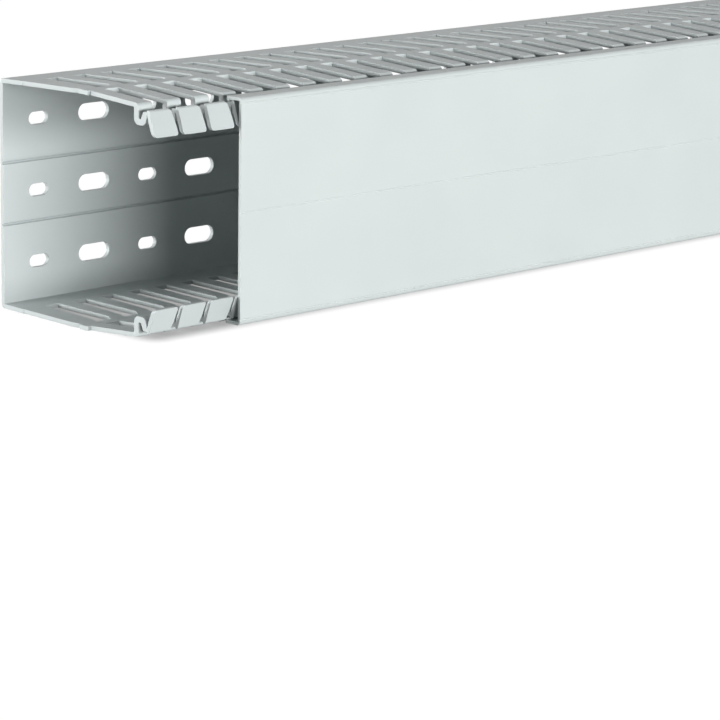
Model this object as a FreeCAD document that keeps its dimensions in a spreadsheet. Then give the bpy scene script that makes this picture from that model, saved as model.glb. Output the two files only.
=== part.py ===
# Slotted wire duct: an extruded, punched base profile and its clip-on cover.
# X runs along the duct, +Y is the mounting side, -Y the cover side, +Z up.
# It lies on its lower side wall, with the cover pushed back from the left end.
import FreeCAD
import Part
import Sketcher

import math
import os

# Driving dimensions in millimetres. Depths run from the mounting face to the cover.
SIZES = {
    # base profile
    "duct_length": 500.0,
    "base_width": 80.0,
    "base_thickness": 1.7,
    "wall_thickness": 1.6,
    "base_corner_radius": 1.6,
    "wall_bulge": 0.8,
    "wall_taper": 1.7,
    "groove_offset": 10.7,
    "groove_width": 2.4,
    "groove_depth": 0.6,
    # slots between the fingers: a tapered inner one, a thin web, an outer one
    "finger_pitch": 12.5,
    "slot_root_depth": 12.0,
    "slot_root_width": 5.7,
    "slot_waist_depth": 37.5,
    "slot_waist_width": 7.3,
    "web_depth": 41.5,
    "web_width": 4.5,
    "outer_slot_width": 6.3,
    "outer_slot_shift": 1.95,
    # folded clip at the end of each finger
    "shoulder_depth": 70.2,
    "shoulder_bevel": 0.9,
    "clip_leg_thickness": 2.3,
    "clip_gap_width": 1.3,
    "clip_gap_depth": 5.2,
    "fold_height": 2.0,
    "fold_bevel": 1.1,
    "catch_drop": 1.9,
    "catch_land": 2.8,
    "lip_width": 1.2,
    "lip_height": 0.6,
    # face plate that each clip carries
    "plate_height": 8.7,
    "plate_lean": 3.4,
    "plate_root_thickness": 2.0,
    "plate_tip_thickness": 1.5,
    "plate_notch_drop": 2.2,
    "plate_gap": 2.8,
    "plate_tip_gap": 2.1,
    "plate_corner_bevel": 0.8,
    # fixing holes in the base, small and large in turn
    "hole_pitch": 25.0,
    "hole_row_pitch": 25.0,
    "first_hole": 15.6,
    "small_hole_length": 8.5,
    "small_hole_width": 4.4,
    "large_hole_length": 14.0,
    "large_hole_width": 6.0,
    # cover
    "cover_length": 500.0,
    "cover_setback": 37.5,
    "cover_thickness": 1.2,
    "cover_clearance": 0.3,
    "cover_front_gap": 0.4,
    "cover_corner_radius": 1.6,
    "cover_hook_width": 0.7,
    "score_width": 0.5,
    "score_depth": 0.15,
    "edge_score_offset": 2.0,
}

# How far a cutting outline runs past the material it cuts.
OVERCUT = 2.0

# Both coordinates of the unit circle's point an eighth of a turn round.
EIGHTH_TURN = math.sqrt(0.5)


class Size:
    """A length that knows its value and the sheet expression that gives it."""

    def __init__(self, value, text):
        self.value = float(value)
        self.text = text

    def _join(self, other, sign, value):
        text = other.text if isinstance(other, Size) else repr(float(other))
        return Size(value, "(" + self.text + " " + sign + " " + text + ")")

    def __add__(self, other):
        return self._join(other, "+", self.value + number(other))

    def __sub__(self, other):
        return self._join(other, "-", self.value - number(other))

    def __mul__(self, other):
        return self._join(other, "*", self.value * number(other))

    def __truediv__(self, other):
        return self._join(other, "/", self.value / number(other))


def number(item):
    """The plain value of a Size or of a number."""
    return item.value if isinstance(item, Size) else float(item)


class Sheet:
    """The spreadsheet of driving dimensions, read back as Size objects."""

    def __init__(self, document, sizes):
        self.cells = document.addObject("Spreadsheet::Sheet", "Sizes")
        for row, (alias, value) in enumerate(sizes.items(), start=1):
            self.cells.set("A" + str(row), alias.replace("_", " "))
            self.cells.set("B" + str(row), str(value))
            self.cells.setAlias("B" + str(row), alias)
        document.recompute()

    def __getattr__(self, alias):
        return Size(self.cells.get(alias), "Sizes." + alias)


class Arc:
    """Marks an outline's edge as an arc about a centre, turning left or right."""

    def __init__(self, across, up, turns_left):
        self.across = across
        self.up = up
        self.turns_left = turns_left


def new_sketch(body, name, role, offset=None):
    """A sketch on one of the body's origin planes, moved along the plane's normal."""
    sketch = body.newObject("Sketcher::SketchObject", name)
    plane = [item for item in body.Origin.OriginFeatures if item.Role == role][0]
    sketch.AttachmentSupport = [(plane, "")]
    sketch.MapMode = "FlatFace"
    if offset is not None:
        sketch.setExpression("AttachmentOffset.Base.z", offset.text)
    return sketch


def bind(sketch, kind, geometry, point, size):
    """Hold one coordinate of a point at a size, measured from the sketch's origin."""
    index = sketch.addConstraint(Sketcher.Constraint(kind, -1, 1, geometry, point, size.value))
    sketch.setExpression("Constraints[" + str(index) + "]", size.text)


def arc_geometry(begin, end, arc):
    """The arc from begin to end as sketch geometry, which always turns left."""
    centre = FreeCAD.Vector(arc.across.value, arc.up.value, 0)
    if not arc.turns_left:
        begin, end = end, begin
    start_angle = math.atan2(begin.y - centre.y, begin.x - centre.x)
    end_angle = math.atan2(end.y - centre.y, end.x - centre.x)
    if end_angle <= start_angle:
        end_angle += 2 * math.pi
    circle = Part.Circle(centre, FreeCAD.Vector(0, 0, 1), (begin - centre).Length)
    return Part.ArcOfCircle(circle, start_angle, end_angle)


def draw_outline(sketch, corners, arcs=None):
    """A closed outline through the corners; arcs[i] bends the edge that leaves corner i."""
    arcs = arcs or {}
    places = [FreeCAD.Vector(across.value, up.value, 0) for across, up in corners]
    count = len(places)
    first = sketch.GeometryCount
    start_points = []
    for index, begin in enumerate(places):
        end = places[(index + 1) % count]
        arc = arcs.get(index)
        if arc is None:
            sketch.addGeometry(Part.LineSegment(begin, end), False)
        else:
            sketch.addGeometry(arc_geometry(begin, end, arc), False)
        start_points.append(1 if arc is None or arc.turns_left else 2)
    for index, (across, up) in enumerate(corners):
        following = (index + 1) % count
        sketch.addConstraint(Sketcher.Constraint(
            "Coincident", first + index, 3 - start_points[index],
            first + following, start_points[following]))
        bind(sketch, "DistanceX", first + index, start_points[index], across)
        bind(sketch, "DistanceY", first + index, start_points[index], up)
        if index in arcs:
            bind(sketch, "DistanceX", first + index, 3, arcs[index].across)


def add_pad(body, sketch, length):
    """Extrude a profile along +X."""
    pad = body.newObject("PartDesign::Pad", sketch.Name + "_pad")
    pad.Profile = sketch
    pad.setExpression("Length", length.text)
    sketch.Visibility = False
    body.Document.recompute()
    return pad


def round_edges(body, base, name, spots, radius):
    """Round the edges along X that pass through the given (depth, height) spots."""
    names = []
    for index, edge in enumerate(base.Shape.Edges, start=1):
        ends = [vertex.Point for vertex in edge.Vertexes]
        for depth, height in spots:
            target = (-depth.value, height.value)
            if len(ends) == 2 and all(math.dist((end.y, end.z), target) < 1e-4 for end in ends):
                names.append("Edge" + str(index))
    if len(names) != len(spots):
        raise ValueError(name + ": wrong number of edges " + str(names))
    fillet = body.newObject("PartDesign::Fillet", name)
    fillet.Base = (base, names)
    fillet.setExpression("Radius", radius.text)
    body.Document.recompute()
    return fillet


def repeat_cut(body, pocket, step, count_text):
    """Repeat a pocket along X and check that the copies remove material."""
    before = body.Shape.Volume
    pattern = body.newObject("PartDesign::LinearPattern", pocket.Name + "_row")
    pattern.Originals = [pocket]
    pattern.Direction = (pocket.Profile[0], ["H_Axis"])
    pattern.setExpression("Occurrences", count_text)
    pattern.setExpression("Length", "(" + count_text + " - 1) * " + step.text)
    body.Tip = pattern
    body.Document.recompute()
    if body.Shape.Volume >= before:
        raise ValueError(pattern.Name + " removed nothing")
    return pattern


def mirrored(points):
    """The same points below the middle plane, in reverse order."""
    return [(across, up * -1) for across, up in reversed(points)]


class BaseSection:
    """Depths and heights that the base profile and the cover share."""

    def __init__(self, sheet):
        half_width = sheet.base_width / 2
        self.half_width = half_width
        self.ridge_depth = sheet.web_depth + sheet.web_width / 2
        self.ridge_height = half_width + sheet.wall_bulge
        self.shoulder_height = self.ridge_height - sheet.wall_taper
        self.lip_height = self.shoulder_height - sheet.catch_drop
        self.catch_height = self.lip_height - sheet.lip_height
        self.gap_floor = self.shoulder_height - sheet.clip_gap_depth
        self.fold_height = self.gap_floor - sheet.fold_height
        self.leg_back = sheet.shoulder_depth - sheet.clip_leg_thickness
        self.gap_front = sheet.shoulder_depth + sheet.clip_gap_width
        self.neck_front = self.gap_front + sheet.clip_leg_thickness
        self.lip_back = self.gap_front + sheet.catch_land
        self.lip_front = self.lip_back + sheet.lip_width
        self.tip_front = self.lip_front + sheet.plate_lean
        self.tip_height = self.lip_height - sheet.plate_height
        self.cover_inside = self.tip_front + sheet.cover_front_gap
        self.cover_outside = self.cover_inside + sheet.cover_thickness

    def upper_outline(self, sheet):
        """(depth, height) corners of the upper half, from outside to inside."""
        thickness = sheet.wall_thickness
        slope = sheet.wall_taper / (sheet.shoulder_depth - self.ridge_depth)
        shoulder = sheet.shoulder_bevel
        fold = sheet.fold_bevel
        notch_height = self.lip_height - sheet.plate_notch_drop
        notch_front = self.lip_front + sheet.plate_lean * sheet.plate_notch_drop / sheet.plate_height
        notch_back = notch_front - sheet.plate_root_thickness
        neck_slope = (notch_back - self.neck_front) / (notch_height - self.fold_height)
        return [
            (sheet.base_width * 0, self.half_width),
            (self.ridge_depth, self.ridge_height),
            (sheet.shoulder_depth - shoulder, self.shoulder_height + slope * shoulder),
            (sheet.shoulder_depth, self.shoulder_height - shoulder),
            (sheet.shoulder_depth, self.gap_floor),
            (self.gap_front, self.gap_floor),
            (self.gap_front, self.catch_height),
            (self.lip_back, self.catch_height),
            (self.lip_back, self.lip_height),
            (self.lip_front, self.lip_height),
            (self.tip_front, self.tip_height),
            (self.tip_front - sheet.plate_tip_thickness, self.tip_height),
            (notch_back, notch_height),
            (self.neck_front + neck_slope * fold, self.fold_height + fold),
            (self.neck_front - fold, self.fold_height),
            (self.leg_back + fold, self.fold_height),
            (self.leg_back, self.fold_height + fold),
            (self.leg_back, self.shoulder_height - thickness + slope * sheet.clip_leg_thickness),
            (self.ridge_depth, self.ridge_height - thickness),
            (sheet.base_thickness, self.half_width - thickness),
            (sheet.base_thickness, sheet.groove_offset + sheet.groove_width / 2),
            (sheet.base_thickness - sheet.groove_depth, sheet.groove_offset + sheet.base_width * 0),
            (sheet.base_thickness, sheet.groove_offset - sheet.groove_width / 2),
        ]


def as_section(points):
    """Turn (depth, height) corners into the YZ sketch's own coordinates."""
    return [(depth * -1, height) for depth, height in points]


def cut_finger_slots(body, sheet, section):
    """Cut the inner and outer slots through both side walls at every pitch."""
    nothing = sheet.finger_pitch * 0
    root = sheet.slot_root_width / 2
    waist = sheet.slot_waist_width / 2
    right = sheet.outer_slot_width / 2 - sheet.outer_slot_shift
    left = right - sheet.outer_slot_width
    web_end = sheet.web_depth + sheet.web_width
    sketch = new_sketch(body, "finger_slots", "XY_Plane")
    draw_outline(sketch, [
        (nothing - root, sheet.slot_root_depth * -1),
        (root, sheet.slot_root_depth * -1),
        (waist, sheet.slot_waist_depth * -1),
        (right, sheet.web_depth * -1),
        (left, sheet.web_depth * -1),
        (nothing - waist, sheet.slot_waist_depth * -1)])
    draw_outline(sketch, [
        (left, web_end * -1),
        (right, web_end * -1),
        (right, section.neck_front * -1),
        (left, section.neck_front * -1)])
    pocket = body.newObject("PartDesign::Pocket", "finger_slot_cut")
    pocket.Profile = sketch
    pocket.Type = "ThroughAll"
    pocket.Midplane = True
    sketch.Visibility = False
    body.Document.recompute()
    count = "(floor(Sizes.duct_length / Sizes.finger_pitch + 0.001) + 1)"
    return repeat_cut(body, pocket, sheet.finger_pitch, count)


def cut_plate_gaps(body, sheet, section):
    """Part the face plates from each other, with bevelled tips, above and below."""
    bevel = sheet.plate_corner_bevel
    right = sheet.outer_slot_width / 2 - sheet.outer_slot_shift
    left = right - sheet.plate_gap
    inset = (sheet.plate_gap - sheet.plate_tip_gap) / 2
    tip_left = left + inset
    tip_right = right - inset
    tip = section.tip_height
    corners = [
        (left, section.lip_height + OVERCUT),
        (tip_left, tip + bevel),
        (tip_left - bevel, tip),
        (tip_left - bevel, tip - OVERCUT),
        (tip_right + bevel, tip - OVERCUT),
        (tip_right + bevel, tip),
        (tip_right, tip + bevel),
        (right, section.lip_height + OVERCUT)]
    sketch = new_sketch(body, "plate_gaps", "XZ_Plane", section.neck_front)
    for side in (1, -1):
        draw_outline(sketch, [(across, up * side) for across, up in corners])
    pocket = body.newObject("PartDesign::Pocket", "plate_gap_cut")
    pocket.Profile = sketch
    pocket.Reversed = True
    pocket.setExpression("Length", (section.cover_outside - section.neck_front).text)
    sketch.Visibility = False
    body.Document.recompute()
    count = "(floor(Sizes.duct_length / Sizes.finger_pitch + 0.001) + 1)"
    return repeat_cut(body, pocket, sheet.finger_pitch, count)


def draw_round_slot(sketch, centre_x, centre_z, length, width):
    """A slotted hole along X, with half-round ends."""
    radius = width / 2
    straight = (length - width) / 2
    left = centre_x - straight
    right = centre_x + straight
    low = centre_z - radius
    high = centre_z + radius
    corners = [(left, low), (right, low), (right, high), (left, high)]
    draw_outline(sketch, corners, {1: Arc(right, centre_z, True), 3: Arc(left, centre_z, True)})


def draw_faceted_slot(sketch, centre_x, centre_z, length, width):
    """A slotted hole along X, each end a half circle drawn as four chords."""
    radius = width / 2
    straight = (length - width) / 2
    nothing = radius * 0
    half_end = [
        (straight, nothing - radius),
        (straight + radius * EIGHTH_TURN, radius * -EIGHTH_TURN),
        (straight + radius, nothing),
        (straight + radius * EIGHTH_TURN, radius * EIGHTH_TURN),
        (straight, radius)]
    outline = half_end + [(across * -1, up * -1) for across, up in half_end]
    draw_outline(sketch, [(centre_x + across, centre_z + up) for across, up in outline])


def cut_fixing_holes(body, sheet):
    """Punch the three rows of slotted holes in the base."""
    sketch = new_sketch(body, "fixing_holes", "XZ_Plane")
    for row in (-1, 0, 1):
        height = sheet.hole_row_pitch * row
        draw_faceted_slot(sketch, sheet.first_hole, height,
                          sheet.small_hole_length, sheet.small_hole_width)
        draw_large_hole = draw_round_slot if row else draw_faceted_slot
        draw_large_hole(sketch, sheet.first_hole + sheet.hole_pitch, height,
                        sheet.large_hole_length, sheet.large_hole_width)
    pocket = body.newObject("PartDesign::Pocket", "fixing_hole_cut")
    pocket.Profile = sketch
    pocket.Reversed = True
    pocket.setExpression("Length", (sheet.base_thickness * 2).text)
    sketch.Visibility = False
    body.Document.recompute()
    room = sheet.duct_length - sheet.first_hole - sheet.hole_pitch - sheet.large_hole_length / 2
    pair_pitch = sheet.hole_pitch * 2
    count = "(floor(" + (room / pair_pitch).text + ") + 1)"
    return repeat_cut(body, pocket, pair_pitch, count)


def place(body, sheet, section, setback):
    """Put the body in the part's frame: middle of the length and depth, floor at Z 0."""
    middle = (sheet.cover_setback + sheet.cover_length) / 2
    body.setExpression("Placement.Base.x", (setback - middle).text)
    body.setExpression("Placement.Base.y", (section.cover_outside / 2).text)
    body.setExpression("Placement.Base.z", section.ridge_height.text)


def build_base(document, sheet, section):
    """The punched duct profile, one extruded piece."""
    body = document.addObject("PartDesign::Body", "slotted_base")
    body.Label = "slotted_base"
    upper = section.upper_outline(sheet)
    sketch = new_sketch(body, "base_profile", "YZ_Plane")
    draw_outline(sketch, as_section(upper + mirrored(upper)))
    pad = add_pad(body, sketch, sheet.duct_length)
    corner = [(sheet.base_width * 0, section.half_width)]
    round_edges(body, pad, "base_corners", corner + mirrored(corner), sheet.base_corner_radius)
    cut_finger_slots(body, sheet, section)
    cut_plate_gaps(body, sheet, section)
    cut_fixing_holes(body, sheet)
    place(body, sheet, section, sheet.cover_setback * 0)
    return body


def build_cover(document, sheet, section):
    """The clip-on cover, one extruded piece, with hooks behind the clips' lips."""
    body = document.addObject("PartDesign::Body", "cover")
    body.Label = "cover"
    leg_inside = section.lip_height + sheet.cover_clearance
    leg_outside = leg_inside + sheet.cover_thickness
    hook_tip = section.catch_height + sheet.cover_clearance
    hook_front = section.lip_back - sheet.cover_clearance
    hook_back = hook_front - sheet.cover_hook_width
    front = section.cover_outside
    score_floor = front - sheet.score_depth
    half_score = sheet.score_width / 2
    edge_score = leg_outside - sheet.edge_score_offset
    upper = [
        (front, half_score),
        (front, edge_score - half_score),
        (score_floor, edge_score),
        (front, edge_score + half_score),
        (front, leg_outside),
        (hook_back, leg_outside),
        (hook_back, hook_tip),
        (hook_front, hook_tip),
        (hook_front, leg_inside),
        (section.cover_inside, leg_inside)]
    middle = [(score_floor, half_score * 0)]
    sketch = new_sketch(body, "cover_profile", "YZ_Plane")
    draw_outline(sketch, as_section(upper + mirrored(upper) + middle))
    pad = add_pad(body, sketch, sheet.cover_length)
    corner = [(front, leg_outside)]
    round_edges(body, pad, "cover_corners", corner + mirrored(corner), sheet.cover_corner_radius)
    place(body, sheet, section, sheet.cover_setback)
    return body


def check_document(document, bodies):
    """Stop on a failed object, an empty or invalid shape, or a piece in several solids."""
    for item in document.Objects:
        if "Invalid" in item.State or "Error" in item.State:
            raise ValueError(item.Name + " failed: " + str(item.State))
    for body in bodies:
        shape = body.Shape
        if shape.isNull() or not shape.isValid() or len(shape.Solids) != 1:
            raise ValueError(body.Label + " is not one valid solid")


def main():
    """Build both pieces and write each one to its own file."""
    document = FreeCAD.newDocument("slotted_wire_duct")
    sheet = Sheet(document, SIZES)
    section = BaseSection(sheet)
    bodies = [build_base(document, sheet, section), build_cover(document, sheet, section)]
    document.recompute()
    check_document(document, bodies)
    os.makedirs("parts", exist_ok=True)
    for body in bodies:
        body.Shape.exportStep("parts/" + body.Label + ".step")
        box = body.Shape.BoundBox
        print(body.Label, round(body.Shape.Volume), [round(value, 2) for value in (
            box.XMin, box.XMax, box.YMin, box.YMax, box.ZMin, box.ZMax)])


main()
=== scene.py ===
"""A slotted wire duct: a punched plastic profile with folded finger clips, and its clip-on cover.

Lengths are millimetres until a mesh is made. Depth runs from the mounting face (0) towards the
cover, height from the middle of the duct's width, and x along the duct from its left end.
"""

import logging
import math
from dataclasses import dataclass, field
from enum import Enum

import bmesh
import bpy
import numpy as np
from mathutils import Matrix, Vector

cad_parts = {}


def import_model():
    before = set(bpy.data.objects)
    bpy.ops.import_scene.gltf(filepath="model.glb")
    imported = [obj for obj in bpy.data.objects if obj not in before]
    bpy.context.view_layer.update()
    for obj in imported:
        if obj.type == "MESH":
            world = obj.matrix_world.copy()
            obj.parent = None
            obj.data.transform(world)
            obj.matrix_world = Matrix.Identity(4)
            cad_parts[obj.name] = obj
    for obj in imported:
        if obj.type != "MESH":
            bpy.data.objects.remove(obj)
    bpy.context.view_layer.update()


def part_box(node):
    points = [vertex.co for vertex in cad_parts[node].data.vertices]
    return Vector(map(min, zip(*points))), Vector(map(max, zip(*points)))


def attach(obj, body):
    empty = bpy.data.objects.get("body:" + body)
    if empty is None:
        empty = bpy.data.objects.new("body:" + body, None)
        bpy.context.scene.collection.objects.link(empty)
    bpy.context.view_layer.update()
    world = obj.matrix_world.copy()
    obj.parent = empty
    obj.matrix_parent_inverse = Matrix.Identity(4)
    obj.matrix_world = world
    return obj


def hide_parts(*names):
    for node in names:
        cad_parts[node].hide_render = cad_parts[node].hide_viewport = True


LOG = logging.getLogger("wire_duct")
MILLIMETRE = 0.001

# Points on a rounded quarter, and the distances in millimetres below which two points are one.
QUARTER_POINTS = 7
MERGE_DISTANCE = 0.002
SAME_HEIGHT = 1e-6

# Edges sharper than this many degrees are broken, and large faces keep their own normals.
SHARP_ANGLE = 24
BEVEL_SEGMENTS = 2
FLAT_WEIGHT = 80

# The range that a noise texture mostly stays in, and the colour sockets of a Mix node.
NOISE_LOW = 0.3
NOISE_HIGH = 0.7
MIX_FIRST = 6
MIX_SECOND = 7
MIX_RESULT = 2


class Layer(Enum):
    """The two faces of the plastic strip that the section is folded from."""

    OUTER = 0
    INNER = 1


class Side(Enum):
    """The side wall that a row of fingers belongs to."""

    UPPER = 1.0
    LOWER = -1.0


# Shapes


def linear_colour(code: str) -> tuple[float, float, float, float]:
    """Turn an sRGB hex colour into linear values.

    Args:
        code: Six hex digits after a hash sign.

    Returns:
        Red, green, blue and an alpha of 1.
    """
    parts = [int(code[start:start + 2], 16) / 255.0 for start in (1, 3, 5)]
    linear = [part / 12.92 if part <= 0.04045 else ((part + 0.055) / 1.055) ** 2.4 for part in parts]
    return linear[0], linear[1], linear[2], 1.0


def arc(depth: float, height: float, radius: float, start: float, end: float, count: int) -> np.ndarray:
    """Points on a circle: the centre plus the radius times (cosine, sine) of evenly spaced angles.

    Args:
        depth: Depth of the centre.
        height: Height of the centre.
        radius: Radius of the circle.
        start: First angle in degrees, from the depth axis towards the height axis.
        end: Last angle in degrees.
        count: Number of points.

    Returns:
        An array of (depth, height) rows.
    """
    angles = np.radians(np.linspace(start, end, count))
    return np.stack([depth + radius * np.cos(angles), height + radius * np.sin(angles)], axis=1)


def add_object(name: str, data: bpy.types.ID) -> bpy.types.Object:
    """Make an object from its data and link it to the scene.

    Args:
        name: Name of the object.
        data: Its mesh, lamp or camera.

    Returns:
        The new object, at the origin.
    """
    added = bpy.data.objects.new(name, data)
    bpy.context.scene.collection.objects.link(added)
    return added


def standing_matrix(axes: np.ndarray, place: np.ndarray) -> Matrix:
    """Join an object's axes and its place.

    Args:
        axes: The object's X, Y and Z axes as columns.
        place: Where its origin stands.

    Returns:
        The object's matrix.
    """
    matrix = Matrix([[*row, place[index]] for index, row in enumerate(axes)])
    matrix.resize_4x4()
    return matrix


@dataclass(frozen=True)
class DuctFrame:
    """Where the duct's own measures lie in the part's frame.

    Attributes:
        left: X of the duct's left end, in metres.
        back: Y of its mounting face.
        middle: Z of the middle of its width.
    """

    left: float
    back: float
    middle: float

    @classmethod
    def from_node(cls, node: str) -> "DuctFrame":
        """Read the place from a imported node's box.

        Args:
            node: Name of the base profile's node.

        Returns:
            The frame whose zero is at the node's left end, back face and middle height.
        """
        low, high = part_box(node)
        return cls(left=low.x, back=high.y, middle=(low.z + high.z) / 2)

    def place(self, x: np.ndarray, depth: np.ndarray, height: np.ndarray) -> np.ndarray:
        """Turn millimetres along, into and across the duct into metres in the part's frame.

        Args:
            x: Distance along the duct.
            depth: Distance from the mounting face.
            height: Distance from the middle of the width.

        Returns:
            An array of points, one row each.
        """
        x, depth, height = np.broadcast_arrays(x, depth, height)
        columns = [
            self.left + x * MILLIMETRE,
            self.back - depth * MILLIMETRE,
            self.middle + height * MILLIMETRE,
        ]
        return np.stack([column.ravel() for column in columns], axis=1)


@dataclass
class MeshDraft:
    """Vertices and faces of one piece, gathered surface by surface."""

    points: list[np.ndarray] = field(default_factory=list)
    faces: list[list[int]] = field(default_factory=list)
    count: int = 0

    def add(self, points: np.ndarray, faces: list[np.ndarray]) -> None:
        """Add a surface.

        Args:
            points: One row a vertex, in metres.
            faces: Arrays of vertex numbers, one row a face, counted from this surface's first vertex.
        """
        self.points.append(points)
        for block in faces:
            self.faces.extend((block + self.count).tolist())
        self.count += len(points)

    def build(self, name: str) -> bpy.types.Object:
        """Merge the surfaces into one closed mesh with its faces pointing outwards.

        Args:
            name: Name of the object.

        Returns:
            The new object, at the origin.
        """
        mesh = bpy.data.meshes.new(name)
        mesh.from_pydata(np.concatenate(self.points), [], self.faces)
        shape = bmesh.new()
        shape.from_mesh(mesh)
        loose = [vertex for vertex in shape.verts if not vertex.link_faces]
        bmesh.ops.delete(shape, geom=loose, context="VERTS")
        bmesh.ops.remove_doubles(shape, verts=shape.verts, dist=MILLIMETRE * MERGE_DISTANCE)
        bmesh.ops.recalc_face_normals(shape, faces=shape.faces)
        open_edges = sum(1 for edge in shape.edges if len(edge.link_faces) != 2)
        shape.to_mesh(mesh)
        shape.free()
        mesh.polygons.foreach_set("use_smooth", np.ones(len(mesh.polygons), dtype=bool))
        piece = add_object(name, mesh)
        LOG.info("%s: %d faces, %d edges open", name, len(mesh.polygons), open_edges)
        return piece


@dataclass(frozen=True)
class Strip:
    """A section folded from a strip: its outer and inner faces as paired (depth, height) rows."""

    outer: np.ndarray
    inner: np.ndarray

    def layer(self, layer: Layer) -> np.ndarray:
        """The (depth, height) rows of one face of the strip."""
        return self.outer if layer is Layer.OUTER else self.inner

    def flipped(self, side: Side) -> "Strip":
        """The same strip on the given side of the middle plane."""
        scale = np.array([1.0, side.value])
        return Strip(self.outer * scale, self.inner * scale)

    def grid(self, frame: DuctFrame, across: np.ndarray) -> np.ndarray:
        """Vertices of both faces, as a grid of rows along the strip and columns along the duct.

        Args:
            frame: Where the duct lies.
            across: The x of each row's columns, one row a station of the strip.

        Returns:
            The outer face's points and then the inner face's, one row each.
        """
        faces = [self.layer(layer) for layer in Layer]
        return np.concatenate([
            frame.place(across, face[:, 0:1], face[:, 1:2]) for face in faces])


def strip_faces(solid: np.ndarray, shown: np.ndarray, joined: tuple[bool, bool]) -> list[np.ndarray]:
    """Faces of a strip cut into a grid of cells, some of them punched out.

    A solid cell has an outer and an inner face. Wherever a solid cell meets a missing one, a side
    face joins the two layers.

    Args:
        solid: True where a cell has material, one row a station interval, one column an x interval.
        shown: True where a solid cell gets its two flat faces here.
        joined: Whether the strip goes on before its first row and after its last one.

    Returns:
        Arrays of four vertex numbers, one row a face.
    """
    rows, columns = solid.shape
    layer_size = (rows + 1) * (columns + 1)
    number = np.arange(layer_size).reshape(rows + 1, columns + 1)
    row, column = np.nonzero(shown)
    flat = np.stack([
        number[row, column], number[row, column + 1],
        number[row + 1, column + 1], number[row + 1, column]], axis=1)
    padded = np.pad(solid, ((0, 0), (1, 1)))
    row, column = np.nonzero(padded[:, 1:] != padded[:, :-1])
    ends = np.stack([number[row, column], number[row + 1, column]], axis=1)
    first = np.full((1, columns), joined[0])
    last = np.full((1, columns), joined[1])
    stacked = np.concatenate([first, solid, last])
    row, column = np.nonzero(stacked[1:] != stacked[:-1])
    rims = np.stack([number[row, column], number[row, column + 1]], axis=1)
    edges = np.concatenate([ends, rims])
    sides = np.concatenate([edges, edges[:, ::-1] + layer_size], axis=1)
    return [flat, flat + layer_size, sides]


def add_finish(piece: bpy.types.Object, bevel: float, material: bpy.types.Material) -> None:
    """Break the sharp edges, keep flat faces flat in the shading, and give the material.

    Args:
        piece: The object to finish.
        bevel: Width of the broken edge.
        material: Its material.
    """
    edge = piece.modifiers.new("broken_edges", "BEVEL")
    edge.limit_method = "ANGLE"
    edge.angle_limit = math.radians(SHARP_ANGLE)
    edge.width = bevel * MILLIMETRE
    edge.segments = BEVEL_SEGMENTS
    edge.use_clamp_overlap = False
    shading = piece.modifiers.new("flat_shading", "WEIGHTED_NORMAL")
    shading.keep_sharp = True
    shading.weight = FLAT_WEIGHT
    piece.data.materials.append(material)


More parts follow.
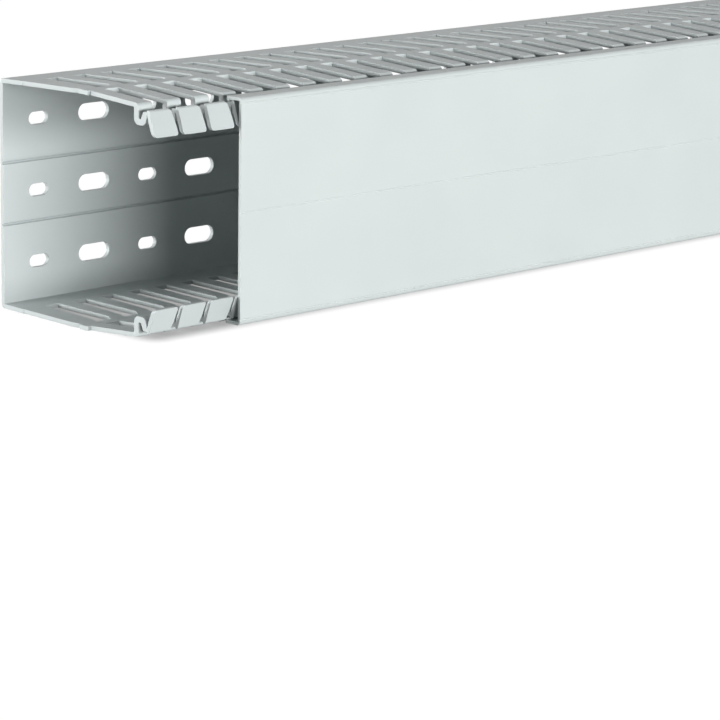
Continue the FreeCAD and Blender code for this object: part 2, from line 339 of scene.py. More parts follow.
@dataclass
class DuctProfile:
    """The punched base profile, with two walls of fingers that end in folded clips.

    Apart from the sizes named below, a name in _depth, _back or _front is a distance from the
    mounting face, and one in _height or _floor a distance from the middle of the width. A finger's
    or a plate's _left and _right are distances along the duct within one pitch.

    Attributes:
        shoulder_run: How far before the first leg a wall's straight run ends.
        gap_flare: How much wider the hairpin's gap is at the neck than at its floor.
        neck_edge: How far short of its front the neck's flat top ends.
        catch_run: Length of the plate's back that is paired with the catch.
        plate_height: Size of a plate from its top to its tip.
        plate_lean: How much further out the tip is than the top.
        plate_stations: Heights of the plate's stations above its rounded tip.
        web_start: Depth at which the uncut web between the two rows of slots starts.
        web_end: Depth at which it ends.
        first_finger_left: Where the first finger starts at the cut end.
        plate_spread: How much each edge of a plate moves outwards down to its tip.
        groove_rise: How far above its line a groove starts to sink.
        groove_drop: How far below its line a groove ends.
        groove_depth: How deep a groove is cut into the base.
        groove_bend: Where a groove steepens: shares of its rise and of its depth.
        groove_foot: Height of a groove's deepest line above its lower edge.
    """

    frame: DuctFrame
    length: float = 500.0
    half_width: float = 40.0
    base_thickness: float = 1.7
    wall_thickness: float = 1.6
    corner_radius: float = 1.6
    inner_corner_radius: float = 0.4
    pitch: float = 12.5
    ridge_depth: float = 43.75
    ridge_height: float = 40.8
    shoulder_depth: float = 70.2
    shoulder_height: float = 39.1
    shoulder_radius: float = 1.5
    shoulder_run: float = 0.8
    leg_thickness: float = 2.3
    gap_width: float = 1.3
    gap_flare: float = 0.8
    gap_floor: float = 33.9
    fold_height: float = 31.9
    fold_radius: float = 2.1
    neck_radius: float = 0.4
    neck_edge: float = 0.1
    catch_height: float = 36.6
    catch_run: float = 0.8
    lip_height: float = 37.2
    lip_back: float = 74.3
    lip_front: float = 75.5
    lip_radius: float = 1.1
    notch_drop: float = 2.2
    plate_height: float = 8.7
    plate_lean: float = 3.4
    plate_root: float = 2.0
    plate_tip: float = 1.5
    plate_stations: tuple[float, float] = (33.4, 31.5)
    slot_root_depth: float = 12.0
    slot_root_half: float = 2.85
    slot_waist_depth: float = 37.5
    slot_waist_half: float = 3.65
    web_start: float = 41.5
    web_end: float = 46.0
    finger_left: float = 1.2
    finger_right: float = 7.4
    first_finger_left: float = 0.3
    plate_right: float = 10.9
    plate_spread: float = 0.45
    plate_tip_radius: float = 1.4
    plate_top_radius: float = 1.7
    groove_offset: float = 10.7
    groove_rise: float = 1.9
    groove_drop: float = 0.55
    groove_depth: float = 1.1
    groove_bend: tuple[float, float] = (0.28, 0.15)
    groove_foot: float = 0.3
    hole_pitch: float = 25.0
    first_hole: float = 15.6
    small_hole: tuple[float, float] = (8.5, 4.4)
    large_hole: tuple[float, float] = (14.0, 6.0)
    edge_bevel: float = 0.14

    def outer_height(self, depth: float) -> float:
        """Height of a wall's outer face: two straight runs that meet at the ridge."""
        knots = [0.0, self.ridge_depth, self.shoulder_depth]
        heights = [self.half_width, self.ridge_height, self.shoulder_height]
        return float(np.interp(depth, knots, heights))

    def inner_height(self, depth: float) -> float:
        """Height of a wall's inner face, a wall thickness inside the outer one."""
        return self.outer_height(depth) - self.wall_thickness

    def shoulder_rows(self) -> tuple[np.ndarray, np.ndarray]:
        """Outer and inner rows of the bend from the wall into the clip's first leg."""
        slope = (self.ridge_height - self.shoulder_height) / (self.shoulder_depth - self.ridge_depth)
        normal = 90.0 - math.degrees(math.atan(slope))
        rise = 1.0 / math.sin(math.radians(normal))
        leg_back = self.shoulder_depth - self.leg_thickness
        bends = []
        for depth, drop, radius in [(self.shoulder_depth, 0.0, self.shoulder_radius),
                                    (leg_back, self.wall_thickness, self.inner_corner_radius)]:
            centre = depth - radius
            wall = self.shoulder_height + slope * (self.shoulder_depth - centre) - drop
            bends.append(arc(centre, wall - radius * rise, radius, normal, 0.0, QUARTER_POINTS))
        return bends[0], bends[1]

    def fold_rows(self) -> tuple[np.ndarray, np.ndarray]:
        """Outer and inner rows of the hairpin fold, from the first leg to the neck.

        The outer rows follow the gap and the neck's top, and the inner rows the fold round them,
        with as many stations.
        """
        leg_back = self.shoulder_depth - self.leg_thickness
        gap_front = self.shoulder_depth + self.gap_width
        neck_front = gap_front + self.leg_thickness
        slit = self.gap_width / 2
        radius = self.fold_radius
        centre = self.fold_height + radius
        gap = arc(self.shoulder_depth + slit, self.gap_floor + slit, slit, 180.0, 360.0, 9)
        neck_back = gap_front + self.gap_flare
        bend = self.neck_radius
        neck_corner = arc(neck_back + bend, self.catch_height - bend, bend, 180.0, 90.0, 5)
        neck_top = [[neck_front - self.neck_edge, self.catch_height]]
        left = arc(leg_back + radius, centre, radius, 180.0, 270.0, QUARTER_POINTS)
        right = arc(neck_front - radius, centre, radius, 270.0, 360.0, QUARTER_POINTS)
        flat = np.linspace(left[-1], right[0], 4)[1:3]
        outer = np.concatenate([gap, neck_corner, neck_top])
        inner = np.concatenate([left, flat, right[:-1]])
        return outer, inner

    def wall_rows(self) -> tuple[np.ndarray, np.ndarray, np.ndarray, list[str]]:
        """The stations of a wall from the slots' roots to the neck of the clip.

        Returns:
            Outer rows, inner rows, the x of the columns at each station, and the kind of each
            interval: "finger" where only the finger is solid and "full" where nothing is cut.
        """
        run_end = self.shoulder_depth - self.leg_thickness - self.shoulder_run
        depths = [self.slot_root_depth, self.slot_waist_depth, self.web_start,
                  self.ridge_depth, self.web_end, run_end]
        wall_outer = np.array([[depth, self.outer_height(depth)] for depth in depths])
        wall_inner = np.array([[depth, self.inner_height(depth)] for depth in depths])
        shoulder_outer, shoulder_inner = self.shoulder_rows()
        fold_outer, fold_inner = self.fold_rows()
        outer = np.concatenate([wall_outer, shoulder_outer, fold_outer])
        inner = np.concatenate([wall_inner, shoulder_inner, fold_inner])
        left = np.full(len(outer), self.finger_left)
        right = np.full(len(outer), self.finger_right)
        left[:2] = [self.slot_root_half, self.slot_waist_half]
        right[:2] = [self.pitch - self.slot_root_half, self.pitch - self.slot_waist_half]
        spare = (right + self.pitch) / 2
        spare[-1] = self.plate_right
        across = np.stack([np.zeros(len(outer)), left, right, spare], axis=1)
        kinds = ["finger", "finger", "full", "full"] + ["finger"] * (len(outer) - 5)
        return outer, inner, across, kinds

    def plate_rows(self) -> tuple[np.ndarray, np.ndarray, np.ndarray]:
        """The stations of the catch and the face plate, beyond the neck.

        The plate leans outwards, widens a little to its tip, and its tip corners and its upper right
        corner follow a quarter circle: the edge is the radius times (1 - cosine) further in.

        Returns:
            Outer rows, inner rows and the x of the columns at each station.
        """
        top = self.lip_height
        tip = top - self.plate_height
        lean = self.plate_lean / self.plate_height
        notch = top - self.notch_drop
        notch_back = self.lip_front + lean * self.notch_drop - self.plate_root
        back_lean = (self.lip_front + self.plate_lean - self.plate_tip - notch_back) / (notch - tip)
        normal = math.degrees(math.atan(lean))
        bend = self.lip_radius
        turned = bend * math.tan(math.radians((90.0 - normal) / 2))
        lip_outer = arc(self.lip_front - turned, top - bend, bend, 90.0, normal, 6)
        catch_outer = np.array([[self.lip_back, self.catch_height], [self.lip_back, top]])
        drops = np.linspace(0.0, self.catch_run, len(catch_outer) + len(lip_outer))
        lip_inner = np.stack([notch_back + back_lean * drops, notch - drops], axis=1)
        turn = np.radians(np.linspace(0.0, 90.0, QUARTER_POINTS))
        radius = self.plate_tip_radius
        heights = np.concatenate([self.plate_stations, tip + radius * (1 - np.sin(turn))])
        plate_outer = np.stack([self.lip_front + lean * (top - heights), heights], axis=1)
        plate_inner = np.stack([notch_back + back_lean * (notch - heights), heights], axis=1)
        outer = np.concatenate([catch_outer, lip_outer, plate_outer])
        inner = np.concatenate([lip_inner, plate_inner])
        inset = np.zeros(len(outer))
        inset[-QUARTER_POINTS:] = radius * (1 - np.cos(turn))
        spread = self.plate_spread * np.clip((top - outer[:, 1]) / self.plate_height, 0.0, 1.0)
        left = self.finger_left - spread + inset
        rise = np.clip((outer[:, 1] - top) / self.plate_top_radius + 1.0, 0.0, 1.0)
        rise[0] = 1.0
        shoulder = self.plate_top_radius * (1.0 - np.sqrt(1.0 - rise ** 2))
        right = self.plate_right + spread - inset - shoulder
        middle = np.full(len(outer), self.finger_right)
        across = np.stack([np.zeros(len(outer)), left, middle, right], axis=1)
        return outer, inner, across

    def wall_columns(self, across: np.ndarray) -> np.ndarray:
        """Repeat one pitch's columns along the duct: column x plus the pitch times its number."""
        starts = np.arange(round(self.length / self.pitch)) * self.pitch
        columns = (across[:, None, :] + starts[None, :, None]).reshape(len(across), -1)
        return np.concatenate([columns, np.full((len(across), 1), self.length)], axis=1)

    def add_wall(self, draft: MeshDraft, side: Side) -> np.ndarray:
        """Add a wall of fingers with its clips and face plates.

        Args:
            draft: The piece so far.
            side: Which wall.

        Returns:
            The x of the columns at the wall's first station.
        """
        outer, inner, across, kinds = self.wall_rows()
        plate_outer, plate_inner, plate_across = self.plate_rows()
        strip = Strip(np.concatenate([outer, plate_outer]), np.concatenate([inner, plate_inner]))
        columns = self.wall_columns(np.concatenate([across, plate_across]))
        columns[:2, 1] = self.first_finger_left
        patterns = {"full": [True, True, True, True], "finger": [False, True, False, False],
                    "plate": [False, True, True, False]}
        kinds = kinds + ["plate"] * len(plate_outer)
        cells = np.array([patterns[kind] for kind in kinds])
        solid = np.tile(cells, (1, round(self.length / self.pitch)))
        points = strip.flipped(side).grid(self.frame, columns)
        draft.add(points, strip_faces(solid, solid, (True, False)))
        return columns[0]

    def base_strip(self) -> tuple[Strip, list[str]]:
        """The section from one wall's slot roots round the base to the other's.

        Each groove slopes in gently from above and comes out steeply below.

        Returns:
            The strip, and the kind of each interval: "seam" next to a wall's columns, "hole" where
            half of a row of holes lies in it, and "plain".
        """
        corner = self.half_width - self.corner_radius
        root = self.slot_root_depth
        small = self.inner_corner_radius
        inner_centre = (self.base_thickness + small, self.inner_height(0.0) - small)
        arc_outer = arc(self.corner_radius, corner, self.corner_radius, 90.0, 180.0, QUARTER_POINTS)
        arc_inner = arc(inner_centre[0], inner_centre[1], small, 90.0, 180.0, QUARTER_POINTS)
        floor = self.base_thickness
        bend_rise, bend_depth = self.groove_bend
        sunk = np.array([0.0, bend_depth, 1.0, 0.0]) * self.groove_depth
        rises = np.array([self.groove_rise, bend_rise * self.groove_rise,
                          self.groove_foot - self.groove_drop, -self.groove_drop])
        upper = np.stack([floor - sunk, self.groove_offset + rises], axis=1)
        lower = np.stack([floor - sunk, -self.groove_offset + rises], axis=1)
        row = self.hole_pitch
        inner_flat = np.concatenate([[[floor, row]], upper, [[floor, 0.0]], lower, [[floor, -row]]])
        outer_flat = inner_flat * np.array([0.0, 1.0])
        mirror = np.array([1.0, -1.0])
        outer_end = np.concatenate([[[root, self.outer_height(root)]], arc_outer])
        inner_end = np.concatenate([[[root, self.inner_height(root)]], arc_inner])
        outer = np.concatenate([outer_end, outer_flat, outer_end[::-1] * mirror])
        inner = np.concatenate([inner_end, inner_flat, inner_end[::-1] * mirror])
        half = ["seam"] + ["plain"] * 6 + ["hole", "hole"] + ["plain"] * 3 + ["hole"]
        return Strip(outer, inner), half + half[::-1]

    def add_base(self, draft: MeshDraft, wall_x: np.ndarray) -> None:
        """Add the base with its corners, grooves, holes and the seams to both walls.

        Args:
            draft: The piece so far.
            wall_x: The x of the walls' columns where they meet the base's seams.
        """
        strip, kinds = self.base_strip()
        cell_count = round(self.length / self.hole_pitch)
        starts = np.arange(cell_count) * self.hole_pitch
        columns = np.append(starts, self.length)
        across = np.tile(columns, (len(strip.outer), 1))
        solid = np.ones((len(kinds), cell_count), dtype=bool)
        shown = np.array([[kind == "plain"] * cell_count for kind in kinds])
        draft.add(strip.grid(self.frame, across), strip_faces(solid, shown, (True, True)))
        for row, kind in enumerate(kinds):
            if kind == "seam":
                self.add_seam(draft, strip, row, wall_x.reshape(-1))
            if kind == "hole":
                self.add_half_holes(draft, strip, row, starts)

    def add_seam(self, draft: MeshDraft, strip: Strip, row: int, wall_x: np.ndarray) -> None:
        """Add the flat run between a wall's slots and the rounded corner, one face a hole pitch.

        Args:
            draft: The piece so far.
            strip: The base's section.
            row: Number of the interval.
            wall_x: The x of the wall's columns.
        """
        wall_row = row if row == 0 else row + 1
        corner_row = row + 1 if row == 0 else row
        each = (len(wall_x) - 1) // round(self.length / self.hole_pitch)
        for layer in Layer:
            face = strip.layer(layer)
            for start in range(0, len(wall_x) - 1, each):
                along = wall_x[start:start + each + 1]
                x = np.concatenate([along, [along[-1], along[0]]])
                rows = np.concatenate([
                    np.tile(face[wall_row], (each + 1, 1)), np.tile(face[corner_row], (2, 1))])
                points = self.frame.place(x, rows[:, 0], rows[:, 1])
                draft.add(points, [np.arange(len(x))[None, :]])

    def half_outline(self, size: tuple[float, float]) -> np.ndarray:
        """The upper half of a slotted hole: two quarter circles about the ends' centres.

        Args:
            size: Length and width of the hole.

        Returns:
            (x, height) rows from the right end to the left one, about the hole's centre.
        """
        radius = size[1] / 2
        straight = (size[0] - size[1]) / 2
        right = arc(straight, 0.0, radius, 0.0, 90.0, QUARTER_POINTS)
        left = arc(-straight, 0.0, radius, 90.0, 180.0, QUARTER_POINTS)
        return np.concatenate([right, left])

    def add_half_holes(self, draft: MeshDraft, strip: Strip, row: int, starts: np.ndarray) -> None:
        """Add one interval of the base with half of each hole cut from it.

        Args:
            draft: The piece so far.
            strip: The base's section.
            row: Number of the interval.
            starts: The x of the cells' left edges.
        """
        centres = np.array([-self.hole_pitch, 0.0, self.hole_pitch])
        heights = strip.outer[row:row + 2, 1]
        at_top = bool(np.min(np.abs(centres - heights[0])) < SAME_HEIGHT)
        centre = heights[0] if at_top else heights[1]
        direction = -1.0 if at_top else 1.0
        far_row = row + 1 if at_top else row
        for index, start in enumerate(starts):
            size = self.large_hole if index % 2 else self.small_hole
            outline = self.half_outline(size)
            hole_x = outline[:, 0] + start + self.first_hole
            hole_height = outline[:, 1] * direction + centre
            rings = []
            for layer in Layer:
                face = strip.layer(layer)
                far_height = face[far_row, 1]
                depth = 0.0 if layer is Layer.OUTER else self.base_thickness
                end = start + self.hole_pitch
                x = np.concatenate([hole_x, [start, start, end, end]])
                height = np.concatenate([hole_height, [centre, far_height, far_height, centre]])
                draft.add(self.frame.place(x, depth, height), [np.arange(len(x))[None, :]])
                rings.append(self.frame.place(hole_x, depth, hole_height))
            count = len(hole_x)
            number = np.arange(count - 1)
            wall = np.stack([number, number + 1, number + count + 1, number + count], axis=1)
            draft.add(np.concatenate(rings), [wall])

    def build(self, material: bpy.types.Material) -> bpy.types.Object:
        """Make the whole profile.

        Args:
            material: The plastic's material.

        Returns:
            The finished piece.
        """
        draft = MeshDraft()
        wall_x = self.add_wall(draft, Side.UPPER)
        self.add_wall(draft, Side.LOWER)
        self.add_base(draft, wall_x)
        piece = draft.build("duct_profile")
        add_finish(piece, self.edge_bevel, material)
        return piece


@dataclass
class DuctCover:
    """The clip-on cover: a flat front with two hooked legs and three fine score lines.

    Attributes:
        start: How far the cover's left end stands past the duct's.
        front: Depth of its front face, from the duct's mounting face.
        leg_outside: Height of a leg's outer face.
        leg_start: Depth at which a leg's straight run has a station.
        hook_tip: Height of a hook's tip.
        inner_radius: Radius of the corner inside, between the front and a leg.
        corner_points: Points on each of the two corners.
        edge_score: Height of the score line near an edge.
        inner_stations: Distances from a leg's inner face of the stations behind that score line.
    """

    frame: DuctFrame
    start: float = 37.5
    length: float = 500.0
    front: float = 80.5
    thickness: float = 1.2
    leg_outside: float = 38.7
    leg_start: float = 75.2
    hook_tip: float = 36.9
    hook_front: float = 74.0
    hook_back: float = 73.3
    corner_radius: float = 1.6
    inner_radius: float = 0.3
    corner_points: int = 9
    score_half: float = 0.3
    score_depth: float = 0.22
    edge_score: float = 36.7
    inner_stations: tuple[float, float, float] = (0.9, 0.75, 0.6)
    edge_bevel: float = 0.12

    def half_strip(self) -> Strip:
        """The section from the middle score line to the tip of one hook."""
        inside = self.front - self.thickness
        leg_inside = self.leg_outside - self.thickness
        floor = self.front - self.score_depth
        heights = [0.0, self.score_half, self.edge_score - self.score_half,
                   self.edge_score, self.edge_score + self.score_half]
        depths = [floor, self.front, self.front, floor, self.front]
        outer_front = np.stack([depths, heights], axis=1)
        behind = [leg_inside - distance for distance in self.inner_stations]
        inner_heights = [0.0, self.score_half, *behind]
        inner_front = np.stack([np.full(len(inner_heights), inside), inner_heights], axis=1)
        radius, count = self.corner_radius, self.corner_points
        corner_outer = arc(self.front - radius, self.leg_outside - radius, radius, 0.0, 90.0, count)
        radius = self.inner_radius
        corner_inner = arc(inside - radius, leg_inside - radius, radius, 0.0, 90.0, count)
        leg_outer = np.array([[self.leg_start, self.leg_outside], [self.hook_back, self.leg_outside],
                              [self.hook_back, self.hook_tip]])
        leg_inner = np.array([[self.leg_start, leg_inside], [self.hook_front, leg_inside],
                              [self.hook_front, self.hook_tip]])
        return Strip(np.concatenate([outer_front, corner_outer, leg_outer]),
                     np.concatenate([inner_front, corner_inner, leg_inner]))

    def build(self, material: bpy.types.Material) -> bpy.types.Object:
        """Make the cover by carrying its section along the duct.

        Args:
            material: The plastic's material.

        Returns:
            The finished piece.
        """
        half = self.half_strip()
        other = half.flipped(Side.LOWER)
        strip = Strip(np.concatenate([half.outer[::-1], other.outer[1:]]),
                      np.concatenate([half.inner[::-1], other.inner[1:]]))
        columns = self.start + np.array([0.0, self.length])
        across = np.tile(columns, (len(strip.outer), 1))
        solid = np.ones((len(strip.outer) - 1, 1), dtype=bool)
        draft = MeshDraft()
        draft.add(strip.grid(self.frame, across), strip_faces(solid, solid, (False, False)))
        piece = draft.build("duct_cover")
        add_finish(piece, self.edge_bevel, material)
        return piece


# Finishes


def add_node(tree: bpy.types.NodeTree, kind: str, settings: dict, links: dict) -> bpy.types.Node:
    """Add a node with its settings and links.

    Args:
        tree: The node tree.
        kind: The node's type name.
        settings: Attributes of the node, and values of its inputs under the inputs' names.
        links: Output sockets under the names or numbers of the inputs that they go to.

    Returns:
        The new node.
    """
    node = tree.nodes.new(kind)
    for name, value in settings.items():
        if isinstance(name, int) or name in node.inputs:
            node.inputs[name].default_value = value
        else:
            setattr(node, name, value)
    for name, socket in links.items():
        tree.links.new(socket, node.inputs[name])
    return node


def empty_tree(material: bpy.types.Material) -> bpy.types.NodeTree:
    """Clear a material's nodes and return its tree."""
    material.use_nodes = True
    material.node_tree.nodes.clear()
    return material.node_tree


@dataclass(frozen=True)
class ExtrudedPvc:
    """Rigid PVC as it leaves the die: satin, with faint draw lines along the length.

    The calibrated surface spreads highlights softly, the draw lines catch light across the
    profile only, and the pigment varies a little over a few centimetres. Lengths are millimetres.

    Attributes:
        name: Name of the material.
        colour: The pigment's main colour.
        shade: The colour that it drifts to.
        roughness: Mean roughness.
        rougher: How far the roughness rises on a draw line.
        smoother: How far it falls beside one.
        draw_line: Width of the draw lines.
        draw_length: Length over which they change.
        grain: Size of the fine grain.
        cloud: Size of the pigment's clouds.
        line_height: Height of the draw lines.
        line_strength: How strongly they turn the light.
        grain_height: Height of the grain.
        grain_strength: How strongly it turns the light.
        ior: Index of refraction.
    """

    name: str
    colour: str
    shade: str
    roughness: float = 0.42
    rougher: float = 0.06
    smoother: float = 0.05
    draw_line: float = 1.6
    draw_length: float = 160.0
    grain: float = 0.55
    cloud: float = 35.0
    line_height: float = 0.012
    line_strength: float = 0.6
    grain_height: float = 0.006
    grain_strength: float = 0.35
    ior: float = 1.53

    def build(self) -> bpy.types.Material:
        """Make the material.

        Returns:
            A material on object coordinates.
        """
        material = bpy.data.materials.new(self.name)
        tree = empty_tree(material)
        place = add_node(tree, "ShaderNodeTexCoord", {}, {}).outputs["Object"]
        per_metre = 1.0 / MILLIMETRE
        along, across = per_metre / self.draw_length, per_metre / self.draw_line
        drawn = add_node(
            tree, "ShaderNodeMapping", {"Scale": (along, across, across)}, {"Vector": place})
        lines = add_node(
            tree, "ShaderNodeTexNoise", {"Scale": 1.0, "Detail": 3.0, "Roughness": 0.6},
            {"Vector": drawn.outputs["Vector"]})
        # The real grain is about 0.1 mm, drawn coarser so that it still shows.
        grain, cloud = (
            add_node(tree, "ShaderNodeTexNoise", {"Scale": per_metre / size, "Detail": 2.0},
                     {"Vector": place})
            for size in (self.grain, self.cloud))
        blend = add_node(
            tree, "ShaderNodeMapRange", {"From Min": NOISE_LOW, "From Max": NOISE_HIGH},
            {"Value": cloud.outputs["Fac"]})
        colour = add_node(
            tree, "ShaderNodeMix",
            {"data_type": "RGBA", MIX_FIRST: linear_colour(self.colour),
             MIX_SECOND: linear_colour(self.shade)},
            {"Factor": blend.outputs["Result"]})
        gloss = add_node(
            tree, "ShaderNodeMapRange",
            {"From Min": NOISE_LOW, "From Max": NOISE_HIGH,
             "To Min": self.roughness - self.smoother, "To Max": self.roughness + self.rougher},
            {"Value": lines.outputs["Fac"]})
        fine = add_node(
            tree, "ShaderNodeBump",
            {"Strength": self.grain_strength, "Distance": self.grain_height * MILLIMETRE},
            {"Height": grain.outputs["Fac"]})
        relief = add_node(
            tree, "ShaderNodeBump",
            {"Strength": self.line_strength, "Distance": self.line_height * MILLIMETRE},
            {"Height": lines.outputs["Fac"], "Normal": fine.outputs["Normal"]})
        surface = add_node(
            tree, "ShaderNodeBsdfPrincipled", {"IOR": self.ior, "Metallic": 0.0},
            {"Base Color": colour.outputs[MIX_RESULT], "Roughness": gloss.outputs["Result"],
             "Normal": relief.outputs["Normal"]})
        add_node(tree, "ShaderNodeOutputMaterial", {}, {"Surface": surface.outputs["BSDF"]})
        return material


def any_seen_ray(tree: bpy.types.NodeTree) -> bpy.types.NodeSocket:
    """Add nodes that give 1 for camera, glossy and transmission rays.

    Args:
        tree: The node tree.

    Returns:
        The socket with the result.
    """
    path = add_node(tree, "ShaderNodeLightPath", {}, {})
    seen = add_node(
        tree, "ShaderNodeMath", {"operation": "MAXIMUM"},
        {0: path.outputs["Is Camera Ray"], 1: path.outputs["Is Glossy Ray"]})
    both = add_node(
        tree, "ShaderNodeMath", {"operation": "MAXIMUM"},
        {0: seen.outputs["Value"], 1: path.outputs["Is Transmission Ray"]})
    return both.outputs["Value"]


@dataclass(frozen=True)
class Lamp:
    """A rectangular area lamp.

    Attributes:
        name: Name of the lamp.
        place: Where it stands, in metres.
        aim: The point that it faces.
        size: Its width and height.
        power: Its power in watts.
    """

    name: str
    place: tuple[float, float, float]
    aim: tuple[float, float, float]
    size: tuple[float, float]
    power: float

    def build(self) -> None:
        """Make the lamp, upright and turned to the point that it faces."""
        lamp = bpy.data.lights.new(self.name, "AREA")
        lamp.shape = "RECTANGLE"
        lamp.size, lamp.size_y = self.size
        lamp.energy = self.power
        back = np.array(self.place) - np.array(self.aim)
        back = back / np.linalg.norm(back)
        right = np.cross([0.0, 0.0, 1.0], back)
        right = right / np.linalg.norm(right)
        axes = np.stack([right, np.cross(back, right), back], axis=1)
        add_object(self.name, lamp).matrix_world = standing_matrix(axes, self.place)


@dataclass(frozen=True)
class Studio:
    """A white sweep without edges, four soft lamps and a dim room.

    The front lamp is the main one. The left one lights the ends and the slots' sides, the weak top
    one leaves the lower wall dark, and the low back one serves the views from behind. The sweep's
    own glow fades under the duct as a painted shadow, so that the floor seen through its slots looks
    shaded.

    Attributes:
        painted_shadow_box: The duct's left, right, front and back on the floor, where the painted shadow
            lies.
        floor_size: Side of the floor's square, in metres.
        floor_colour: The paper's colour.
        glow_strength: Strength of the floor's glow to the camera.
        floor_glow: Share of it in the open.
        painted_shadow_glow: Share of it under the duct, kept low as a painted shadow.
        painted_shadow_edge: Width over which the one fades into the other.
        room_light: Strength of the light from all round.
        lamps: The four lamps.
    """

    painted_shadow_box: tuple[float, float, float, float]
    floor_size: float = 12.0
    floor_colour: str = "#9a9a9a"
    glow_strength: float = 1.3
    floor_glow: float = 0.76
    painted_shadow_glow: float = 0.27
    painted_shadow_edge: float = 0.012
    room_light: float = 0.015
    lamps: tuple[Lamp, ...] = (
        Lamp("front", (-0.25, -2.2, 0.24), (-0.2, 0.0, 0.04), (2.2, 0.44), 71.0),
        Lamp("left", (-1.85, 0.45, 0.27), (-0.27, 0.0, 0.04), (0.6, 0.4), 25.0),
        Lamp("top", (-0.9, 0.5, 1.6), (-0.2, 0.0, 0.04), (0.8, 0.8), 5.5),
        Lamp("back", (-1.1, 2.2, 0.12), (-0.1, 0.0, 0.04), (1.4, 0.2), 22.0),
    )

    def build_floor(self) -> None:
        """Make the floor, whose own glow to the camera keeps it white and leaves the real shadow; the glow
        fades under the duct as a painted shadow.
        """
        half = self.floor_size / 2
        corners = [(-half, -half, 0.0), (half, -half, 0.0), (half, half, 0.0), (-half, half, 0.0)]
        mesh = bpy.data.meshes.new("studio_floor")
        mesh.from_pydata(corners, [], [(0, 1, 2, 3)])
        floor = add_object("studio_floor", mesh)
        material = bpy.data.materials.new("white_paper")
        tree = empty_tree(material)
        seen = any_seen_ray(tree)
        share = add_node(
            tree, "ShaderNodeMath", {"operation": "MULTIPLY"}, {0: seen, 1: self.painted_shadow_mask(tree)})
        colour = linear_colour(self.floor_colour)
        paper = add_node(tree, "ShaderNodeBsdfDiffuse", {"Color": colour}, {})
        glow = add_node(tree, "ShaderNodeEmission", {"Strength": self.glow_strength}, {})
        mixed = add_node(
            tree, "ShaderNodeMixShader", {},
            {0: share.outputs["Value"], 1: paper.outputs["BSDF"], 2: glow.outputs["Emission"]})
        add_node(tree, "ShaderNodeOutputMaterial", {}, {"Surface": mixed.outputs["Shader"]})
        floor.data.materials.append(material)

    def painted_shadow_mask(self, tree: bpy.types.NodeTree) -> bpy.types.NodeSocket:
        """Add nodes that give the floor's glow: full in the open, little under the duct as a painted
        shadow.

        Args:
            tree: The floor's node tree, on the floor's own coordinates.

        Returns:
            The socket with the share of glow.
        """
        place = add_node(tree, "ShaderNodeTexCoord", {}, {}).outputs["Object"]
        axes = add_node(tree, "ShaderNodeSeparateXYZ", {}, {"Vector": place})
        left, right, front, back = self.painted_shadow_box
        insides = []
        for axis, low, high in [("X", left, right), ("Y", front, back)]:
            away = add_node(
                tree, "ShaderNodeMath", {"operation": "SUBTRACT", 1: (low + high) / 2},
                {0: axes.outputs[axis]})
            size = add_node(
                tree, "ShaderNodeMath", {"operation": "ABSOLUTE"}, {0: away.outputs["Value"]})
            half = (high - low) / 2
            inside = add_node(
                tree, "ShaderNodeMapRange",
                {"interpolation_type": "SMOOTHSTEP", "From Min": half, "From Max": half - self.painted_shadow_edge},
                {"Value": size.outputs["Value"]})
            insides.append(inside.outputs["Result"])
        # Painted shadow: inside the duct's footprint the floor's glow drops to a low share.
        under = add_node(
            tree, "ShaderNodeMath", {"operation": "MULTIPLY"}, {0: insides[0], 1: insides[1]})
        glow = add_node(
            tree, "ShaderNodeMapRange", {"To Min": self.floor_glow, "To Max": self.painted_shadow_glow},
            {"Value": under.outputs["Value"]})
        return glow.outputs["Result"]

    def build_room(self) -> None:
        """Make the world: white where it is seen, and the room light's strength elsewhere."""
        world = bpy.data.worlds.new("studio_room")
        bpy.context.scene.world = world
        world.use_nodes = True
        tree = world.node_tree
        tree.nodes.clear()
        strength = add_node(
            tree, "ShaderNodeMapRange", {"To Min": self.room_light, "To Max": 1.0},
            {"Value": any_seen_ray(tree)})
        sky = add_node(
            tree, "ShaderNodeBackground", {"Color": (1.0, 1.0, 1.0, 1.0)},
            {"Strength": strength.outputs["Result"]})
        add_node(tree, "ShaderNodeOutputWorld", {}, {"Surface": sky.outputs["Background"]})

    def build(self) -> None:
        """Make the floor, the room and the lamps."""
        self.build_floor()
        self.build_room()
        for lamp in self.lamps:
            lamp.build()


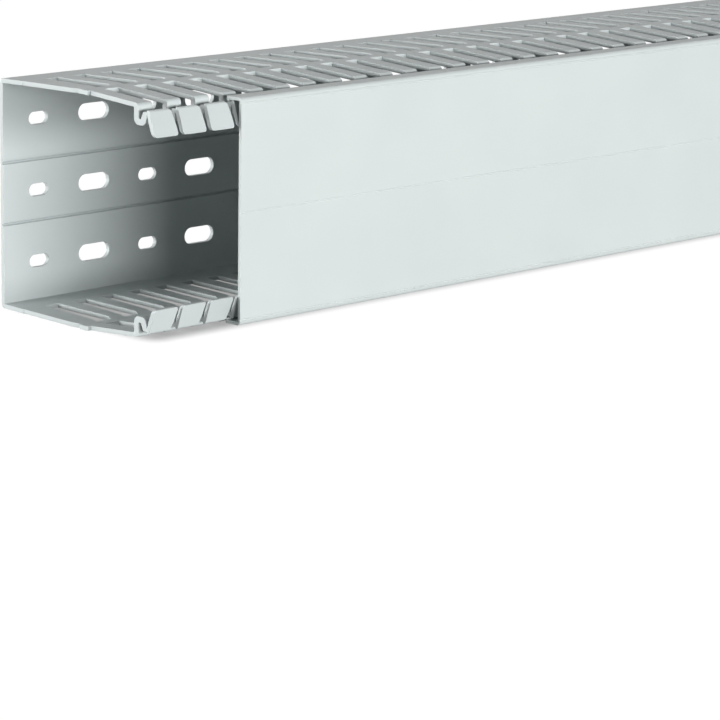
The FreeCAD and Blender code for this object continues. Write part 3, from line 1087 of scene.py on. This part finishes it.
@dataclass(frozen=True)
class PhotoCamera:
    """The camera that sees the duct as the photograph does, from its open left end.

    Attributes:
        frame: Where the duct lies.
        focal_pixels: Focal length, in pixels of the image.
        image_pixels: Side of the image.
        sensor: Width of the sensor, in millimetres.
        yaw: Degrees about the vertical, from looking straight at the cover.
        pitch: Degrees downwards.
        roll: Degrees about the line of sight.
        x: Distance along the duct, in millimetres.
        depth: Distance from the mounting face.
        height: Distance from the middle of the duct's width.
        nearest: Where the view starts, in metres.
        farthest: Where it ends.
    """

    frame: DuctFrame
    focal_pixels: float = 3295.0
    image_pixels: float = 720.0
    sensor: float = 36.0
    yaw: float = 45.25
    pitch: float = 12.75
    roll: float = 0.87
    x: float = -704.0
    depth: float = 872.7
    height: float = 195.6
    nearest: float = 0.05
    farthest: float = 50.0

    def build(self) -> bpy.types.Object:
        """Make the camera from its yaw about +Z, its downward pitch and its roll.

        Returns:
            The camera object, set as the scene's camera.
        """
        yaw, pitch, roll = (math.radians(angle) for angle in (self.yaw, self.pitch, self.roll))
        forward = np.array([
            math.sin(yaw) * math.cos(pitch), math.cos(yaw) * math.cos(pitch), -math.sin(pitch)])
        right = np.array([math.cos(yaw), -math.sin(yaw), 0.0])
        up = np.cross(right, forward)
        turned_right = math.cos(roll) * right + math.sin(roll) * up
        turned_up = math.cos(roll) * up - math.sin(roll) * right
        place = self.frame.place(np.array(self.x), np.array(self.depth), np.array(self.height))[0]
        axes = np.stack([turned_right, turned_up, -forward], axis=1)
        data = bpy.data.cameras.new("photo_camera")
        data.sensor_width = self.sensor
        data.lens = self.focal_pixels * self.sensor / self.image_pixels
        data.clip_start = self.nearest
        data.clip_end = self.farthest
        camera = add_object("photo_camera", data)
        camera.matrix_world = standing_matrix(axes, place)
        bpy.context.scene.camera = camera
        return camera


def main() -> None:
    """Load the frame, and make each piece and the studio."""
    logging.basicConfig(level=logging.INFO, format="%(name)s: %(message)s")
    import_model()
    bpy.context.scene.view_settings.view_transform = "Standard"
    frame = DuctFrame.from_node("slotted_base")
    PhotoCamera(frame).build()

    base_plastic = ExtrudedPvc("extruded_pvc_grey", "#b9c0c0", "#b5bcbc").build()
    profile = DuctProfile(frame).build(base_plastic)
    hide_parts("slotted_base")
    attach(profile, "duct")

    cover_plastic = ExtrudedPvc("extruded_pvc_light_grey", "#bdc4c3", "#b9c1c0").build()
    cover = DuctCover(frame).build(cover_plastic)
    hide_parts("cover")
    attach(cover, "lid")

    low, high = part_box("slotted_base")
    Studio((low.x, high.x, low.y, high.y)).build()


if __name__ == "__main__":
    main()
